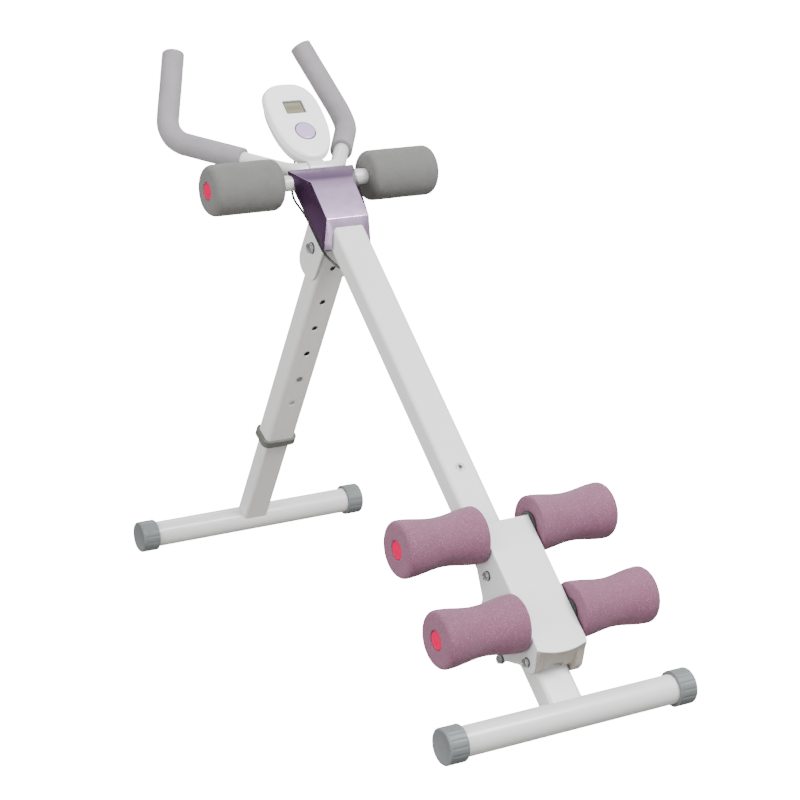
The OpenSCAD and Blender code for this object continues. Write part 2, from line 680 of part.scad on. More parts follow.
function waisted_profile() = concat(
    sleeve_end(foam_in, foam_end_r - 1, 5, true),
    [for (i = [1 : 9]) let (x = foam_in + 7 + i * (foam_len - 16) / 10, w = sin(180 * i / 10))
        [x, foam_end_r - (foam_end_r - foam_waist_r) * w * w]],
    sleeve_end(foam_out, foam_end_r - 1, 9, false));

module foam_roller(side, i) color("rosybrown")
    foam_sleeve(side, foam_in, foam_out, waisted_profile(), roller_tube_r,
        side_y(roller_s[i], roller_n), side_z(roller_s[i], roller_n));

module foam_roller_upper_left() foam_roller(-1, 1);

module foam_roller_upper_right() foam_roller(1, 1);

module foam_roller_lower_left() foam_roller(-1, 0);

module foam_roller_lower_right() foam_roller(1, 0);

module axle_bolts() color("silver") on_beam() for (a = axles) {
    rod_x(-cover_w / 2 - 1.4, cover_w / 2 + 9, axle_r, a[0], a[1]);
    rod_x(-cover_w / 2 - 1.4, -cover_w / 2, 8, a[0], a[1]);
    hex_x(-cover_w / 2 - 1.4 - bolt_head, -cover_w / 2 - 1.4, 13, a[0], a[1]);
}

module axle_nuts() color("silver") on_beam() for (a = axles) difference() {
    union() {
        hex_x(cover_w / 2 + 1.4, cover_w / 2 + 8, 13, a[0], a[1]);
        rod_x(cover_w / 2, cover_w / 2 + 1.5, 8, a[0], a[1]);
    }
    rod_x(cover_w / 2 - 1, cover_w / 2 + 20, axle_r, a[0], a[1]);
}

// A plastic block astride the beam: a slanted bar across its end and a cheek on each side. The
// side outlines are [distance outward from the axle, n, radius].
guide_bar = [[16.5, 6, 1], [16.5, 15, 3], [14, 22, 3], [6, 50.7, 0.5], [0.5, 50.7, 0.5], [10, 21.5, 3],
    [13, 15, 3], [13, 6, 1]];
low_cheek = [[24.5, -11, 11.5], [24.5, 14, 10], [2, 50.5, 1], [-19, 50.5, 1], [-19, -11, 8]];
high_cheek = [[20, 3, 6], [20, 14, 8], [2, 50.5, 1], [-19, 50.5, 1], [-19, 3, 4]];

module guide_side(s, outward, x0, x1, outline) translate([x0, s, 0]) rotate([90, 0, 90])
    linear_extrude(x1 - x0) polygon(rounded([for (p = outline) [outward * p[0], p[1], p[2]]]));

module guide_block(s, outward, notch) color("wheat") on_beam() difference() {
    union() {
        guide_side(s, outward, 0.2 - flange_x, flange_x - 0.2, guide_bar);
        guide_side(s, outward, beam_w / 2 + 1, flange_x - 0.2, low_cheek);
        guide_side(s, outward, 0.2 - flange_x, -beam_w / 2 - 1, high_cheek);
    }
    if (notch > 0) translate([-11, s - 40, 1]) cube([22, 80, notch]);
    rod_x(-cover_w, cover_w, axle_r + run_gap, s, top_axle_n);
}

module guide_block_lower() guide_block(top_axle_s[0], -1, 17);

module guide_block_upper() guide_block(top_axle_s[1], 1, 0);

module sensor_magnet() color("silver") on_beam()
    translate([0, top_axle_s[1] + 16.5, 10.5]) rotate([-90, 0, 0]) cylinder(r = 4.5, h = 3);

// A two-tread wheel; its groove passes over the sensor's eyelet
module wheel(s, n) color("whitesmoke") on_beam() difference() {
    union() {
        rod_x(-wheel_half, wheel_half, groove_r, s, n);
        for (side = [-1, 1]) rod_x(side * groove_half, side * wheel_half, wheel_r, s, n);
    }
    rod_x(-wheel_half - 1, wheel_half + 1, axle_r + run_gap, s, n);
}

module top_wheel_lower() wheel(top_axle_s[0], top_axle_n);

module top_wheel_upper() wheel(top_axle_s[1], top_axle_n);

module under_wheel_lower() wheel(under_axle_s[0], under_axle_n);

module under_wheel_upper() wheel(under_axle_s[1], under_axle_n);

front_foot_tube();
front_foot_caps();
main_beam();
wheel_stops();
stop_screws();
sensor_eyelet();
reed_sensor();
sensor_cable();
cable_grommet();
elbow_tube();
elbow_plugs();
elbow_roller_left();
elbow_roller_right();
pivot_bracket();
pivot_bolt();
pivot_nut();
pivot_washers();
head_cover();
handlebar();
bar_saddle();
grip_left();
grip_right();
handle_plugs();
console_bracket();
bracket_screws();
console_back();
console_front();
lcd_window();
lcd_module();
circuit_board();
battery_cell();
battery_door();
button_ring();
console_button();
outer_leg_tube();
leg_collar();
pivot_bush();
inner_leg_tube();
rear_foot_tube();
rear_foot_caps();
height_pin();
height_knob();
carriage_cover();
upper_roller_tube();
lower_roller_tube();
roller_spacers();
roller_plugs();
axle_bolts();
axle_nuts();
guide_block_lower();
guide_block_upper();
sensor_magnet();
top_wheel_lower();
top_wheel_upper();
under_wheel_lower();
under_wheel_upper();
foam_roller_upper_left();
foam_roller_upper_right();
foam_roller_lower_left();
foam_roller_lower_right();
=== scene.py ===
import json
import math

import bmesh
import bpy
from mathutils import Matrix, Vector, noise


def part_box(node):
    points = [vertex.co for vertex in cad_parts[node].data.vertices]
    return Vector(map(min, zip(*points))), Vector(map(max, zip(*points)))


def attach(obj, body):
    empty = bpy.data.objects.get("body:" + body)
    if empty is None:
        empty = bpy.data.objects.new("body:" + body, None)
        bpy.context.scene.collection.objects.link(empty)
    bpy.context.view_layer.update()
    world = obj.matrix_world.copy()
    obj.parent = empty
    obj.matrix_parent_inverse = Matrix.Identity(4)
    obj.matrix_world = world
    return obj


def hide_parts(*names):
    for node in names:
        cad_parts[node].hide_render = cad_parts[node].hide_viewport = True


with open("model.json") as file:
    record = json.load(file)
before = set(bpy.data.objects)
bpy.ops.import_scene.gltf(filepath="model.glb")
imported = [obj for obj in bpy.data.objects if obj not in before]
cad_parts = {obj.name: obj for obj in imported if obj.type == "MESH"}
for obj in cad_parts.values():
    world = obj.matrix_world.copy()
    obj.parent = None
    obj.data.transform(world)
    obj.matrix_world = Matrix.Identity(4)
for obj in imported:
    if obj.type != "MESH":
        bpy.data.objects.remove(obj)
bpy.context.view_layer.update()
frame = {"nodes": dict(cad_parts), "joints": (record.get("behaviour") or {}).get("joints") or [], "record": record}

# Metres. "up" runs up the beam, "out" stands off its top face and "across" is the machine's +X.
ACROSS = Vector((1, 0, 0))
JOINTS = {j["name"]: j for j in frame["joints"]}
UP = Vector(JOINTS["carriage_slide"]["axis"]).normalized()
OUT = ACROSS.cross(UP)


def joint_point(name):
    return Vector(JOINTS[name]["pos_m"])


def middle(node):
    low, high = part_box(node)
    return (low + high) / 2


def extent(node, direction):
    """Lowest and highest reach of a CAD node along a direction."""
    reach = [v.co.dot(direction) for v in frame["nodes"][node].data.vertices]
    return min(reach), max(reach)


# Camera and light ---------------------------------------------------------------------------


def add_camera():
    azimuth, elevation, roll = (math.radians(a) for a in (-30.29, 15.58, -0.15))
    target = Vector((-0.0188, -0.0935, 0.4284))
    back = Vector((math.sin(azimuth) * math.cos(elevation), -math.cos(azimuth) * math.cos(elevation),
                   math.sin(elevation)))
    data = bpy.data.cameras.new("camera")
    data.lens = 95.25
    data.sensor_width = 36
    data.shift_x = -0.00875
    data.shift_y = -0.0014
    camera = bpy.data.objects.new("camera", data)
    turn = back.to_track_quat("Z", "Y").to_matrix() @ Matrix.Rotation(roll, 3, "Z")
    camera.matrix_world = Matrix.Translation(target + back * 3.542) @ turn.to_4x4()
    bpy.context.scene.collection.objects.link(camera)
    bpy.context.scene.camera = camera


def add_light(name, place, aim, size, power, color=(1, 1, 1)):
    data = bpy.data.lights.new(name, "AREA")
    data.shape = "DISK"
    data.size = size
    data.energy = power
    data.color = color
    light = bpy.data.objects.new(name, data)
    light.location = place
    light.rotation_euler = (Vector(place) - Vector(aim)).to_track_quat("Z", "Y").to_euler()
    bpy.context.scene.collection.objects.link(light)


def add_studio():
    """A white studio: a light sky, darker below the horizon, and a glowing sheet of floor paper."""
    world = bpy.data.worlds.new("studio")
    bpy.context.scene.world = world
    world.use_nodes = True
    tree = world.node_tree
    background = tree.nodes["Background"]
    place = tree.nodes.new("ShaderNodeTexCoord")
    split = tree.nodes.new("ShaderNodeSeparateXYZ")
    link(tree, place, "Generated", split, "Vector")
    height = ranged(tree, split, "Z", -0.25, 0.35, 0, 1)
    sky = mixed(tree, height, (0.42, 0.40, 0.355), (1.25, 1.25, 1.27))
    tree.links.new(sky.outputs[2], background.inputs["Color"])
    add_light("key", (1.2, -2.0, 3.0), (0, 0, 0.4), 1.4, 180)
    add_light("fill", (-3.0, -1.0, 1.2), (0, 0, 0.4), 2.0, 105)
    add_light("front", (-0.4, -3.6, 0.5), (0, 0, 0.4), 1.6, 18)
    add_light("rim", (0.6, 2.4, 2.2), (0, 0.2, 0.5), 1.6, 24)
    bpy.ops.mesh.primitive_plane_add(size=30)
    floor = bpy.context.object
    floor.name = "floor"
    floor.visible_diffuse = False
    floor.visible_glossy = False
    floor.data.materials.append(plain_floor())


# Materials ----------------------------------------------------------------------------------


def shader(name):
    material = bpy.data.materials.new(name)
    material.use_nodes = True
    return material, material.node_tree, material.node_tree.nodes["Principled BSDF"]


def link(tree, a, a_name, b, b_name):
    tree.links.new(a.outputs[a_name], b.inputs[b_name])


def noise_node(tree, scale, detail=3, rough=0.55):
    place = tree.nodes.new("ShaderNodeTexCoord")
    node = tree.nodes.new("ShaderNodeTexNoise")
    node.inputs["Scale"].default_value = scale
    node.inputs["Detail"].default_value = detail
    node.inputs["Roughness"].default_value = rough
    link(tree, place, "Object", node, "Vector")
    return node


def ranged(tree, source, output, low, high, to_low, to_high):
    node = tree.nodes.new("ShaderNodeMapRange")
    node.inputs["From Min"].default_value = low
    node.inputs["From Max"].default_value = high
    node.inputs["To Min"].default_value = to_low
    node.inputs["To Max"].default_value = to_high
    link(tree, source, output, node, "Value")
    return node


def mixed(tree, factor, a, b):
    """A colour node between a and b, each a colour or another such node."""
    node = tree.nodes.new("ShaderNodeMix")
    node.data_type = "RGBA"
    tree.links.new(factor.outputs[0], node.inputs[0])
    for socket, value in ((node.inputs[6], a), (node.inputs[7], b)):
        if isinstance(value, tuple):
            socket.default_value = (*value, 1)
        else:
            tree.links.new(value.outputs[2], socket)
    return node


def tinted(color, amount):
    return tuple(min(1, c * amount) for c in color)


def surface(name, color, rough, metallic=0.0, coat=0.0, spread=0.04, patch=9, grain=900, grain_depth=0.0,
            specks=None, edge=0.0, edge_highlight_color=None):
    """A procedural material: patches of tone, grain in the normal, optional specks, rounded edges and an optional
    painted highlight colour along the edges.
    """
    material, tree, out = shader(name)
    patches = noise_node(tree, patch, 4)
    factor = ranged(tree, patches, "Fac", 0.3, 0.7, 0, 1)
    tone = mixed(tree, factor, tinted(color, 1 - spread), tinted(color, 1 + spread))
    if specks:
        speck_color, speck_scale, share = specks
        dots = noise_node(tree, speck_scale, 1)
        chosen = ranged(tree, dots, "Fac", share, share + 0.05, 0, 0.75)
        tone = mixed(tree, chosen, tone, speck_color)
    normal = None
    if edge:
        normal = tree.nodes.new("ShaderNodeBevel")
        normal.samples = 6
        normal.inputs["Radius"].default_value = edge
    # Painted highlight: where the bevelled normal turns away from the true normal, the tone is mixed towards the
    # given edge colour.
    if edge_highlight_color:
        flat = tree.nodes.new("ShaderNodeNewGeometry")
        facing = tree.nodes.new("ShaderNodeVectorMath")
        facing.operation = "DOT_PRODUCT"
        link(tree, normal, "Normal", facing, 0)
        link(tree, flat, "Normal", facing, 1)
        edge_highlight_mask = ranged(tree, facing, "Value", 0.99, 0.9, 0, 0.8)
        tone = mixed(tree, edge_highlight_mask, tone, edge_highlight_color)
    tree.links.new(tone.outputs[2], out.inputs["Base Color"])
    roughness = ranged(tree, noise_node(tree, patch * 4, 3), "Fac", 0.3, 0.7,
                       rough * 0.88, min(1, rough * 1.12))
    link(tree, roughness, "Result", out, "Roughness")
    out.inputs["Metallic"].default_value = metallic
    out.inputs["Coat Weight"].default_value = coat
    out.inputs["Coat Roughness"].default_value = 0.12
    if grain_depth:
        bump = tree.nodes.new("ShaderNodeBump")
        bump.inputs["Strength"].default_value = 0.7
        bump.inputs["Distance"].default_value = grain_depth
        link(tree, noise_node(tree, grain, 2), "Fac", bump, "Height")
        if normal:
            link(tree, normal, "Normal", bump, "Normal")
        normal = bump
    if normal:
        link(tree, normal, "Normal", out, "Normal")
    return material


def plain_floor():
    material = surface("floor_paper", (0.93, 0.93, 0.93), 0.9, spread=0.004, patch=1)
    shading = material.node_tree.nodes["Principled BSDF"]
    shading.inputs["Emission Color"].default_value = (1, 1, 1, 1)
    shading.inputs["Emission Strength"].default_value = 16.0
    return material


def foam(name, color, specks):
    material = surface(name, color, 0.92, spread=0.05, patch=30, grain=1400, grain_depth=0.0006,
                       specks=specks)
    shading = material.node_tree.nodes["Principled BSDF"]
    shading.inputs["Sheen Weight"].default_value = 0.12
    shading.inputs["Sheen Roughness"].default_value = 0.5
    shading.inputs["Specular IOR Level"].default_value = 0.25
    return material


def pink(name):
    material = surface(name, (0.38, 0.0, 0.04), 0.7, spread=0.03, patch=60)
    shading = material.node_tree.nodes["Principled BSDF"]
    shading.inputs["Specular IOR Level"].default_value = 0.0
    # Painted glow: the pink plastic gives off light of its own, though it is no lamp.
    shading.inputs["Emission Color"].default_value = (1.0, 0.0, 0.12, 1)
    shading.inputs["Emission Strength"].default_value = 0.45
    return material


def lavender(name):
    """Metallic lavender paint, with painted shade: deep purple where a face looks sideways and darker where it
    looks up.
    """
    material = surface(name, (0.50, 0.37, 0.57), 0.3, metallic=0.85, coat=0.4, spread=0.03, patch=14,
                       grain=2600, grain_depth=0.00004, edge=0.0014)
    tree = material.node_tree
    shading = tree.nodes["Principled BSDF"]
    front = shading.inputs["Base Color"].links[0].from_node
    place = tree.nodes.new("ShaderNodeTexCoord")
    split = tree.nodes.new("ShaderNodeSeparateXYZ")
    link(tree, place, "Normal", split, "Vector")
    # Painted shade: faces that look sideways, like the cover's sides that fall in shade, are mixed towards deep
    # purple.
    sideways = tree.nodes.new("ShaderNodeMath")
    sideways.operation = "ABSOLUTE"
    link(tree, split, "X", sideways, 0)
    factor = ranged(tree, sideways, "Value", 0.55, 0.85, 0, 1)
    side_shaded_tone = mixed(tree, factor, front, (0.085, 0.035, 0.10))
    # Painted shade: faces that look up, such as the sloping ledge, are mixed towards a darker purple.
    top_shade_mask = ranged(tree, split, "Z", 0.80, 0.88, 0, 1)
    painted_shade_tone = mixed(tree, top_shade_mask, side_shaded_tone, (0.13, 0.068, 0.16))
    tree.links.new(painted_shade_tone.outputs[2], shading.inputs["Base Color"])
    return material


def glass(name):
    material, tree, out = shader(name)
    smudge = ranged(tree, noise_node(tree, 60, 3), "Fac", 0.3, 0.7, 0.05, 0.16)
    link(tree, smudge, "Result", out, "Roughness")
    out.inputs["Base Color"].default_value = (0.9, 0.92, 0.86, 1)
    out.inputs["Transmission Weight"].default_value = 0.9
    out.inputs["IOR"].default_value = 1.2
    return material


def make_materials():
    white = (0.66, 0.655, 0.655)
    return {
        "frame_paint": surface("frame_paint", white, 0.34, coat=0.25, spread=0.015, patch=5, grain=420,
                               grain_depth=0.00012, edge=0.0012),
        "cover_white": surface("cover_white", (0.64, 0.64, 0.64), 0.38, coat=0.2, spread=0.015, grain=420,
                               grain_depth=0.00012, edge=0.0012),
        "chrome_tube": surface("tube_white", white, 0.3, coat=0.3, spread=0.015, grain=420,
                               grain_depth=0.0001),
        "fastener": surface("zinc", (0.42, 0.45, 0.46), 0.22, metallic=1.0, spread=0.12, patch=160, grain=900,
                            grain_depth=0.00005, edge=0.0005),
        "cap_plastic": surface("cap_plastic", (0.135, 0.15, 0.155), 0.5, spread=0.04, patch=40, grain=1500,
                               grain_depth=0.00012, edge=0.0008),
        "collar_plastic": surface("collar_plastic", (0.11, 0.115, 0.105), 0.42, spread=0.05, patch=60,
                                  grain=1300, grain_depth=0.0001, edge=0.0012),
        "rubber": surface("rubber_black", (0.03, 0.03, 0.032), 0.7, spread=0.1, patch=80, grain=1200,
                          grain_depth=0.00015, edge=0.0008),
        "cable": surface("cable_sheath", (0.018, 0.018, 0.02), 0.42, spread=0.1, patch=120),
        "black_plastic": surface("black_plastic", (0.03, 0.03, 0.033), 0.5, spread=0.08, patch=90, grain=1200,
                                 grain_depth=0.0001, edge=0.0006),
        "cover_lavender": lavender("lavender_metallic"),
        "elbow_foam": foam("foam_grey", (0.128, 0.128, 0.124), ((0.175, 0.175, 0.17), 900, 0.60)),
        "carriage_foam": foam("foam_mauve", (0.180, 0.074, 0.120), ((0.30, 0.165, 0.24), 700, 0.60)),
        "grip_foam": foam("foam_grip", (0.255, 0.24, 0.255), ((0.31, 0.295, 0.31), 900, 0.60)),
        "pink_plastic": pink("pink_plastic"),
        "console_white": surface("console_white", (0.90, 0.90, 0.92), 0.3, coat=0.35, spread=0.01, patch=20,
                                 grain=1800, grain_depth=0.00004),
        "lcd_glass": glass("lcd_glass"),
        "lcd_panel": surface("lcd_panel", (0.20, 0.19, 0.125), 0.35, spread=0.06, patch=50),
        "pcb": surface("pcb_green", (0.03, 0.16, 0.06), 0.4, spread=0.1, patch=90),
        "button_lavender": surface("button_lavender", (0.46, 0.36, 0.58), 0.3, coat=0.5, spread=0.03,
                                   patch=40),
        "ring_dark": surface("ring_dark", (0.05, 0.05, 0.055), 0.4, spread=0.06, patch=90, edge=0.0003),
        "guide_plastic": surface("guide_plastic", (0.33, 0.30, 0.26), 0.5, spread=0.04, patch=60, grain=1300,
                                 grain_depth=0.0001, edge=0.0016),
        "wheel_plastic": surface("wheel_plastic", (0.68, 0.68, 0.65), 0.45, spread=0.04, patch=80,
                                 edge=0.001),
    }


def dress_frame(materials):
    """Gives every carried-over CAD node its material and smooth curved faces."""
    slots = {s["node"]: s["material_slot"] for s in frame["record"]["subparts"]}
    for name, node in frame["nodes"].items():
        node.data.materials.clear()
        node.data.materials.append(materials[slots[name]])
        for polygon in node.data.polygons:
            polygon.use_smooth = True
        sharpen(node.data, 32)


def sharpen(mesh, degrees):
    """Marks edges sharper than an angle, so that shading breaks there."""
    mesh.set_sharp_from_angle(angle=math.radians(degrees))


# Mesh building ------------------------------------------------------------------------------


def piece(name, points, faces, body, material, sharp=32):
    mesh = bpy.data.meshes.new(name)
    mesh.from_pydata([tuple(p) for p in points], [], faces)
    build = bmesh.new()
    build.from_mesh(mesh)
    bmesh.ops.remove_doubles(build, verts=build.verts, dist=1e-7)
    bmesh.ops.recalc_face_normals(build, faces=build.faces)
    build.to_mesh(mesh)
    build.free()
    mesh.materials.append(material)
    for polygon in mesh.polygons:
        polygon.use_smooth = True
    sharpen(mesh, sharp)
    obj = bpy.data.objects.new(name, mesh)
    bpy.context.scene.collection.objects.link(obj)
    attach(obj, body)
    return obj


def ring_faces(rings, sides, closed):
    """Quads between successive rings of points; closed joins the last ring to the first."""
    faces = []
    for i in range(rings if closed else rings - 1):
        j = (i + 1) % rings
        for k in range(sides):
            m = (k + 1) % sides
            faces.append((i * sides + k, j * sides + k, j * sides + m, i * sides + m))
    return faces


def lathe(center, axis, profile, steps=96, closed=False, wobble=0.0):
    """Points and faces of a profile [(along, radius)] turned about an axis."""
    axis = axis.normalized()
    side = axis.orthogonal().normalized()
    other = axis.cross(side)
    points = []
    for along, radius in profile:
        for k in range(steps):
            a = 2 * math.pi * k / steps
            spoke = side * math.cos(a) + other * math.sin(a)
            p = center + axis * along + spoke * radius
            if wobble:
                p += spoke * wobble * noise.noise(p * 22)
            points.append(p)
    faces = ring_faces(len(profile), steps, closed)
    if not closed:
        faces.append(tuple(range(steps)))
        faces.append(tuple(range((len(profile) - 1) * steps, len(profile) * steps)))
    return points, faces


def quarter(cx, cr, radius, start, end, steps=8):
    """Arc in a lathe profile, angles in degrees from the axis direction."""
    turns = [math.radians(start + (end - start) * i / steps) for i in range(steps + 1)]
    return [(cx + radius * math.cos(t), cr + radius * math.sin(t)) for t in turns]


def swept(path, radius, sides=32):
    """Points and faces of an open tube skin along a path, one ring at each point."""
    points = []
    up = Vector((0.3, 0.2, 1))
    for i, p in enumerate(path):
        t = (path[min(i + 1, len(path) - 1)] - path[max(i - 1, 0)]).normalized()
        u = t.cross(up).normalized()
        v = t.cross(u)
        r = radius[i] if isinstance(radius, list) else radius
        for k in range(sides):
            a = 2 * math.pi * k / sides
            points.append(p + (u * math.cos(a) + v * math.sin(a)) * r)
    return points, ring_faces(len(path), sides, False)


# Foam ---------------------------------------------------------------------------------------


def foam_sleeve(name, node, body, spin, materials, slot, waist, inner_edge, edge):
    """A foam sleeve on a tube: rounded ends, an optional waist, and a bore that shows the plug."""
    low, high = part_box(node)
    side = 1 if low.x > 0 else -1
    start, end = sorted((abs(low.x), abs(high.x)))
    radius = (high.z - low.z) / 2
    bore = BORE[slot]
    center = joint_point(spin)
    center.x = 0
    length = end - start
    profile = [(start + 0.0005, bore), (start, bore + 0.0006)]
    profile += [(start, bore + (radius - inner_edge - bore) * i / 4) for i in range(1, 4)]
    profile += quarter(start + inner_edge, radius - inner_edge, inner_edge, 180, 90, 9)
    inner = start + inner_edge
    for i in range(1, 28):
        x = inner + (length - inner_edge - edge) * i / 28
        profile.append((x, radius - waist * math.sin(math.pi * i / 28) ** 2))
    profile += quarter(end - edge, radius - edge, edge, 90, 0, 9)
    profile += [(end, bore + (radius - edge - bore) * i / 4) for i in range(3, 0, -1)]
    profile += [(end, bore + 0.0026), (end - 0.0008, bore + 0.0018), (end - 0.0042, bore + 0.0018),
                (end - 0.0042, bore)]
    profile = [(x, max(r, bore)) for x, r in profile]
    points, faces = lathe(center, ACROSS * side, profile, 112, True, 0.00035)
    sleeve = piece(name, points, faces, body, materials[slot], 50)
    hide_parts(node)


BORE = {"carriage_foam": 0.0141, "elbow_foam": 0.0141}


def add_foam(materials):
    for end in ("upper", "lower"):
        for side in ("left", "right"):
            name = f"{end}_{side}"
            foam_sleeve(f"foam_{name}", f"foam_roller_{name}", f"foam_{name}", f"foam_{name}_spin",
                        materials, "carriage_foam", 0.0068, 0.0045, 0.0085)
    for side in ("left", "right"):
        foam_sleeve(f"elbow_foam_{side}", f"elbow_roller_{side}", f"elbow_{side}", f"elbow_{side}_spin",
                    materials, "elbow_foam", 0.0, 0.012, 0.014)


# Handlebar and grips ------------------------------------------------------------------------

HANDLE_ROOT = Vector((0.046, 0.2622, 0.7629))
HANDLE_CORNER = Vector((0.187, 0.482, 0.803))
HANDLE_TIP = Vector((0.131, 0.564, 0.947))
HANDLE_BENDS = (0.040, 0.062)
GRIP_FROM = 0.100
GRIP_RADIUS = 0.0205
BAR_RADIUS = 0.014


def fillet(a, b, c, radius, steps):
    """Points of the arc that rounds corner b between a and c."""
    u, v = (a - b).normalized(), (c - b).normalized()
    half = u.angle(v) / 2
    back = radius / math.tan(half)
    mid = b + (u + v).normalized() * (radius / math.sin(half))
    p, q = (b + u * back - mid).normalized(), (b + v * back - mid).normalized()
    return [mid + p.slerp(q, i / steps) * radius for i in range(steps + 1)]


def mirrored(points, side):
    return [Vector((side * p.x, p.y, p.z)) for p in points]


def grip_path(side):
    arm = (HANDLE_CORNER - HANDLE_ROOT).normalized()
    start = HANDLE_ROOT + arm * GRIP_FROM
    bend = fillet(HANDLE_ROOT, HANDLE_CORNER, HANDLE_TIP, HANDLE_BENDS[1], 28)
    run = [start + (bend[0] - start) * i / 10 for i in range(10)]
    rise = [bend[-1] + (HANDLE_TIP - bend[-1]) * i / 10 for i in range(1, 11)]
    return mirrored(run + bend + rise, side)


def sleeve_along(path, radius, bore, edge, end_bore):
    """Path points and radii of a foam tube with rounded ends around a path."""
    first, last = (path[0] - path[1]).normalized(), (path[-1] - path[-2]).normalized()
    turns = [math.radians(15 * i) for i in range(7)]
    points, radii = [path[0].copy()], [bore]
    for t in turns:
        points.append(path[0] - first * edge * (1 - math.cos(t)))
        radii.append(radius - edge + edge * math.sin(t))
    inside = [p for p in path[1:-1]
              if (p - path[0]).length > edge * 1.3 and (p - path[-1]).length > edge * 1.3]
    points += inside
    radii += [radius] * len(inside)
    for t in reversed(turns):
        points.append(path[-1] - last * edge * (1 - math.cos(t)))
        radii.append(radius - edge + edge * math.sin(t))
    points.append(path[-1].copy())
    radii.append(end_bore)
    points.append(path[-1] - last * 0.004)
    radii.append(end_bore)
    return points, radii


def add_grips(materials):
    for side, word in ((-1, "left"), (1, "right")):
        path, radii = sleeve_along(grip_path(side), GRIP_RADIUS, BAR_RADIUS, 0.003, BAR_RADIUS - 0.002)
        frames = path_frames(grip_path(side), path)
        points, sides = [], 64
        for (p, u, v), r in zip(frames, radii):
            for k in range(sides):
                a = 2 * math.pi * k / sides
                spoke = u * math.cos(a) + v * math.sin(a)
                points.append(p + spoke * (r + 0.00025 * noise.noise((p + spoke * r) * 40)))
        faces = ring_faces(len(path), sides, False)
        faces.append(tuple(range((len(path) - 1) * sides, len(path) * sides)))
        faces.append(tuple(range(sides)))
        grip = piece(f"grip_foam_{word}", points, faces, "frame", materials["grip_foam"], 50)
        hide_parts(f"grip_{word}")


def path_frames(guide, path):
    """Each path point with two directions across the guide line at its nearest point."""
    up = Vector((0.3, 0.2, 1))
    frames = []
    for p in path:
        i = min(range(len(guide)), key=lambda k: (guide[k] - p).length)
        t = (guide[min(i + 1, len(guide) - 1)] - guide[max(i - 1, 0)]).normalized()
        u = t.cross(up).normalized()
        frames.append((p, u, t.cross(u)))
    return frames


def bar_path():
    middle_point = Vector((0, HANDLE_ROOT.y, HANDLE_ROOT.z))
    half = fillet(middle_point, HANDLE_ROOT, HANDLE_CORNER, HANDLE_BENDS[0], 16)
    half += fillet(HANDLE_ROOT, HANDLE_CORNER, HANDLE_TIP, HANDLE_BENDS[1], 16)
    half.append(HANDLE_TIP - (HANDLE_TIP - HANDLE_CORNER).normalized() * 0.002)
    return mirrored(reversed(half), -1) + half


def add_bar(materials):
    path = bar_path()
    points, faces = swept(path, BAR_RADIUS, 48)
    faces.append(tuple(range(48)))
    faces.append(tuple(range((len(path) - 1) * 48, len(path) * 48)))
    bar = piece("handlebar_tube", points, faces, "frame", materials["frame_paint"], 50)
    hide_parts("handlebar")


# Tube plugs and foot caps -------------------------------------------------------------------


def add_plug(name, center, side, radius, body, materials):
    """A moulded plug: rounded flange, shallow dish and a small raised disc in its middle."""
    face = 0.003
    profile = [(-0.014, radius - 0.003), (-0.0002, radius - 0.003), (-0.0002, radius)]
    profile += quarter(face - 0.0012, radius - 0.0012, 0.0012, 90, 0, 5)
    profile += [(face, radius * 0.86), (face - 0.0005, radius * 0.80), (face - 0.0005, radius * 0.30),
                (face - 0.0002, radius * 0.27), (face - 0.0002, 0.0006)]
    points, faces = lathe(center, ACROSS * side, profile, 72)
    return piece(name, points, faces, body, materials["pink_plastic"], 40)


def add_plugs(materials):
    flange = 0.0149
    for end in ("upper", "lower"):
        tube_low, tube_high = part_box(f"{end}_roller_tube")
        for side, word in ((-1, "left"), (1, "right")):
            center = joint_point(f"foam_{end}_{word}_spin")
            center.x = tube_high.x if side > 0 else tube_low.x
            plug = add_plug(f"plug_{end}_{word}", center, side, flange, "carriage", materials)
            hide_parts("roller_plugs")
    tube_low, tube_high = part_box("elbow_tube")
    for side, word in ((-1, "left"), (1, "right")):
        center = joint_point(f"elbow_{word}_spin")
        center.x = tube_high.x if side > 0 else tube_low.x
        plug = add_plug(f"plug_elbow_{word}", center, side, flange, "frame", materials)
        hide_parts("elbow_plugs")


def add_foot_cap(name, side, node, tube, body, materials):
    """A cup with shallow flutes along its side, a rimmed end face and a flat underside."""
    center = middle(tube)
    low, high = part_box(node)
    tube_low, tube_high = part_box(tube)
    outer = high.x if side > 0 else -low.x
    radius = (high.y - low.y) / 2
    tube_radius = (tube_high.z - tube_low.z) / 2
    mouth = outer - 0.033
    base = low.z
    profile = [(mouth + 0.002, tube_radius + 0.0002), (mouth, tube_radius + 0.0006), (mouth, radius - 0.0012)]
    profile += quarter(mouth + 0.0008, radius - 0.0008, 0.0008, 180, 90, 4)
    profile += [(mouth + 0.002 + (outer - mouth - 0.007) * i / 5, radius) for i in range(6)]
    profile += quarter(outer - 0.003, radius - 0.003, 0.003, 90, 0, 7)
    profile += [(outer, radius - 0.0042), (outer - 0.0006, radius - 0.0050), (outer - 0.0006, 0.004),
                (outer - 0.0006, 0.0004)]
    sides, flutes = 240, 15
    points, faces = lathe(Vector((0, center.y, center.z)), ACROSS * side, profile, sides)
    for index, p in enumerate(points):
        along = profile[index // sides][0]
        if mouth + 0.0019 < along < outer - 0.0045:
            spoke = Vector((0, p.y - center.y, p.z - center.z))
            angle = math.atan2(spoke.z, spoke.y)
            flute = 0.0007 * max(0, math.cos(angle * flutes)) ** 2
            p -= spoke.normalized() * flute
        p.z = max(p.z, base)
    cap = piece(name, points, faces, body, materials["cap_plastic"], 40)
    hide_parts(node)


def add_foot_caps(materials):
    for end, body in (("front", "frame"), ("rear", "inner_leg")):
        for side, word in ((-1, "left"), (1, "right")):
            add_foot_cap(f"{end}_cap_{word}", side, f"{end}_foot_caps", f"{end}_foot_tube", body, materials)


# Fasteners ----------------------------------------------------------------------------------


def hex_radius(angle, flats):
    third = math.pi / 3
    return flats / 2 / math.cos((angle % third) - third / 2)


